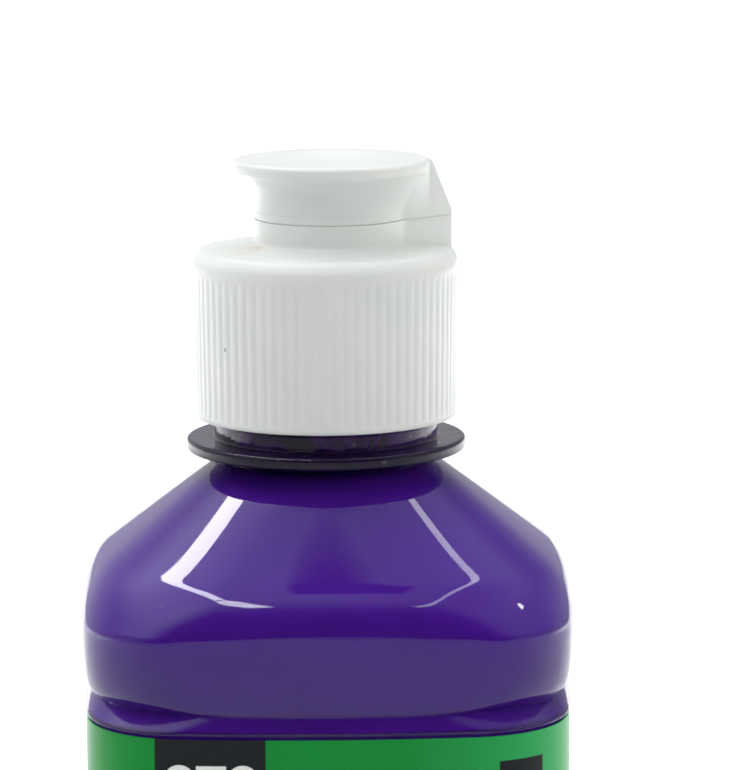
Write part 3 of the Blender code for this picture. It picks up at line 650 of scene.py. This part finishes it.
def label_material():
    """Green film with a near-black panel and plain shapes in place of lettering."""
    made, tree, shader = node_material("printed_film", Roughness=0.3, IOR=1.5,
                                       Specular_IOR_Level=0.22)
    fade = noise(tree, 120, 3.0).outputs["Fac"]
    colour = blend_colour(tree, remap(tree, fade, 0.3, 0.7), GREEN, GREEN_FADED)
    x, y, z = (add_node(tree, "ShaderNodeSeparateXYZ", {0: place(tree)}).outputs[axis]
               for axis in "XYZ")
    facing = math(tree, "LESS_THAN", y, 0.0)
    # Painted light: the front of the label turns a lighter green towards its right-hand end, where
    # light from the right falls
    painted_lit_end = math(tree, "MULTIPLY", remap(tree, x, 8 * MM, 28 * MM),
                     remap(tree, y, -19 * MM, 8 * MM, 1.0, 0.0, smooth=True))
    colour = blend_colour(tree, painted_lit_end, colour, GREEN_PAINTED_LIT)

    # Printed shapes on the front, in millimetres from its middle and down from the upper edge
    def patch(left, right, bottom, top):
        across = math(tree, "MULTIPLY", inside(tree, x, left * MM, right * MM), facing)
        upright = inside(tree, z, LABEL_HIGH - bottom * MM, LABEL_HIGH - top * MM)
        return math(tree, "MULTIPLY", across, upright)

    def disc(centre_x, below, radius, soft=0.05):
        spot = add_node(tree, "ShaderNodeCombineXYZ", {"X": x, "Z": z})
        away = add_node(tree, "ShaderNodeVectorMath", {0: spot.outputs[0], 1: (
            centre_x * MM, 0, LABEL_HIGH - below * MM)}, operation="DISTANCE").outputs["Value"]
        covered = remap(tree, away, (radius + soft) * MM, (radius - soft) * MM)
        return math(tree, "MULTIPLY", covered, facing)

    for shape, print_colour in (
            (patch(-19.7, -7.1, 15.0, -1.0), INK), (disc(-16.9, 4.7, 1.8), PRINT_WHITE),
            (patch(-15.0, -11.6, 6.4, 3.0), PRINT_WHITE), (disc(-9.7, 4.7, 1.8), PRINT_WHITE),
            (patch(-18.4, -8.2, 11.8, 9.4), GREEN), (patch(19.4, 24.4, 40.0, 2.9), INK),
            (patch(-5.0, 18.5, 38.0, 14.0), PRINT_WHITE), (disc(6.5, 26.0, 8.5), PRINT_PURPLE)):
        colour = blend_colour(tree, shape, colour, print_colour)
    tree.links.new(colour, shader.inputs["Base Color"])
    bump(tree, shader, fade, 0.01 * MM)
    return made


def white_plastic():
    """Moulded polypropylene with faint clouding, a few specks and one old stain."""
    made, tree, shader = node_material("white_polypropylene", Roughness=0.34, IOR=1.49,
                                       Specular_IOR_Level=0.35)
    cloud = noise(tree, 90, 4.0).outputs["Fac"]
    colour = blend_colour(tree, remap(tree, cloud, 0.3, 0.7), PLASTIC_SHADE, PLASTIC_WHITE)
    stain = add_node(tree, "ShaderNodeVectorMath", {0: place(tree), 1: STAIN},
                     operation="DISTANCE")
    stained = math(tree, "MULTIPLY", remap(tree, stain.outputs["Value"], 3.2 * MM, 0.5 * MM),
                   remap(tree, noise(tree, 700, 4.0).outputs["Fac"], 0.42, 0.7))
    colour = blend_colour(tree, stained, colour, OLD_PAINT)
    specks = math(tree, "MULTIPLY", spots(tree, 260, 0.075, 0.12), 0.6)
    colour = blend_colour(tree, specks, colour, SPECK)
    tree.links.new(colour, shader.inputs["Base Color"])
    bump(tree, shader, noise(tree, 900, 2.0).outputs["Fac"], 0.01 * MM)
    return made


def foam_material():
    made, tree, shader = node_material("foam_liner", Roughness=0.85)
    cells = add_node(tree, "ShaderNodeTexVoronoi", {"Vector": place(tree), "Scale": 2500.0})
    colour = blend_colour(tree, cells.outputs["Distance"], FOAM_SHADE, FOAM_WHITE)
    tree.links.new(colour, shader.inputs["Base Color"])
    bump(tree, shader, cells.outputs["Distance"], 0.05 * MM)
    return made


def floor_material():
    made, tree, shader = node_material("studio_floor", Roughness=0.7)
    grain = noise(tree, 3, 2.0).outputs["Fac"]
    colour = blend_colour(tree, grain, FLOOR_SHADE, FLOOR_LIGHT)
    tree.links.new(colour, shader.inputs["Base Color"])
    return made


# Studio

def add_light(name, centre, target, width, height, radiance, turn=0.0, colour=(1, 1, 1),
              mirrored=True, spread=None):
    """A rectangular lamp of the given radiance; `turn` spins it in its own plane.

    One that is not mirrored lights the object but does not show in its gloss.
    """
    data = bpy.data.lights.new(name, "AREA")
    data.shape = "RECTANGLE"
    data.size, data.size_y = width, height
    data.energy = radiance * pi * width * height
    data.color = colour
    if spread is not None:
        data.spread = spread
    light = bpy.data.objects.new(name, data)
    bpy.context.scene.collection.objects.link(light)
    aim = (Vector(target) - Vector(centre)).to_track_quat("-Z", "Y").to_matrix().to_4x4()
    light.matrix_world = Matrix.Translation(centre) @ aim @ Matrix.Rotation(turn, 4, "Z")
    light.visible_glossy = mirrored


def add_floor():
    mesh = bpy.data.meshes.new("studio_floor")
    mesh.from_pydata([(x * FLOOR_HALF, y * FLOOR_HALF, 0) for x, y in (
        (-1, -1), (1, -1), (1, 1), (-1, 1))], [], [(0, 1, 2, 3)])
    floor = bpy.data.objects.new("studio_floor", mesh)
    bpy.context.scene.collection.objects.link(floor)
    floor.data.materials.append(floor_material())


def add_camera():
    """The view from 0.5 m away, looking down by about 9 degrees on the bottle's upper half."""
    data = bpy.data.cameras.new("camera")
    data.sensor_width = SENSOR
    data.lens = LENS
    data.clip_start, data.clip_end = 0.01, 50
    camera = bpy.data.objects.new("camera", data)
    bpy.context.scene.collection.objects.link(camera)
    level = cos(CAMERA_PITCH)
    aim = Vector((sin(CAMERA_YAW) * level, cos(CAMERA_YAW) * level, -sin(CAMERA_PITCH)))
    upright = aim.to_track_quat("-Z", "Y").to_matrix().to_4x4()
    camera.matrix_world = (Matrix.Translation(CAMERA_PLACE) @ upright
                           @ Matrix.Rotation(CAMERA_ROLL, 4, "Z"))
    bpy.context.scene.camera = camera


def set_world():
    """A light tent: white behind, grey at the sides, dark in front and through its top opening."""
    world = bpy.data.worlds.new("studio")
    world.use_nodes = True
    tree = world.node_tree
    direction = add_node(tree, "ShaderNodeTexCoord").outputs["Generated"]
    axes = add_node(tree, "ShaderNodeSeparateXYZ", {0: direction}).outputs
    behind = remap(tree, axes["Y"], 0.05, 0.6, 0.18, 0.55, smooth=True)
    right = remap(tree, axes["X"], 0.45, 0.9, 0.0, 0.3, smooth=True)
    low = remap(tree, axes["Z"], 0.1, 0.5, 1.0, 0.5, smooth=True)
    left = remap(tree, axes["X"], -0.12, -0.6, 0.0, 0.45, smooth=True)
    front = remap(tree, axes["Y"], -0.75, -0.35, 0.10, 1.0, smooth=True)
    top = math(tree, "MULTIPLY", remap(tree, axes["Z"], 0.5, 0.75, 0.0, 1.0, smooth=True),
               remap(tree, axes["X"], -0.4, 0.4, 0.95, 0.4))
    across = inside(tree, axes["X"], -0.065, 0.145, soft=0.01)
    along = inside(tree, axes["Y"], -0.19, 0.07, soft=0.01)
    opening = remap(tree, math(tree, "MULTIPLY", across, along), 0, 1, 1.0, 0.1)
    sides = math(tree, "ADD", left, right)
    tent = math(tree, "ADD", math(tree, "MULTIPLY", behind, low), math(tree, "ADD", sides, top))
    light = math(tree, "MULTIPLY", tent, math(tree, "MULTIPLY", front, opening))
    background = tree.nodes["Background"]
    background.inputs["Color"].default_value = (1, 1, 1, 1)
    tree.links.new(light, background.inputs["Strength"])
    bpy.context.scene.world = world
    bpy.context.scene.view_settings.view_transform = "Standard"


shell = make_bottle(clear_plastic())
shell.visible_shadow = False   # light reaches the paint through the clear wall
make_neck(neck_plastic())
make_paint(paint_material())
make_label(label_material())
WHITE = white_plastic()
make_cap(WHITE)
make_lid(WHITE)
make_film(WHITE)
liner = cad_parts["liner_ring"]
liner.data.materials.clear()
liner.data.materials.append(foam_material())

add_floor()
add_camera()
set_world()
# Tubes and a small square lamp at the top of the tent, which show in the bottle's gloss
add_light("left_tube", (-0.39, 0.22, TUBE_HEIGHT), (-0.39, 0.22, 0), 0.06, 1.1, 12,
          turn=LEFT_TUBE_TURN)
add_light("left_tube_end", (-0.215, -0.52, TUBE_HEIGHT), (-0.215, -0.52, 0), 0.075, 0.34, 11,
          turn=LEFT_TUBE_TURN)
add_light("right_tube", (0.35, 0.0, TUBE_HEIGHT), (0.35, 0.0, 0), 0.03, 1.40, 4.5,
          turn=RIGHT_TUBE_TURN)
add_light("square_lamp", (1.05, 0.22, 1.0), (0, 0, 0.08), 0.07, 0.07, 14)
# Soft fills from the sides and the front, and lights for the floor beside and behind the bottle
for side, radiance, colour in ((-1, 0.1, COOL), (1, 2.2, WARM)):
    add_light("side_fill", (side * 1.2, -0.35, 0.4), (0, 0, 0.1), FILL_SIZE, FILL_SIZE, radiance,
              colour=colour, mirrored=False)
add_light("front_fill", (-0.4, -1.2, 0.9), (0, 0, 0.1), FILL_SIZE, FILL_SIZE, 2.0, mirrored=False)
for side in (-1, 1):
    add_light("floor_card", (side * 0.62, 0.5, 0.9), (side * 0.62, 0.5, 0), 0.5, 0.9, 3.2,
              mirrored=False, spread=radians(50))
add_light("back_floor_light", (0, 2.15, 1.3), (0, 2.15, 0), 3.8, 3.7, 2.0, mirrored=False,
          spread=radians(60))
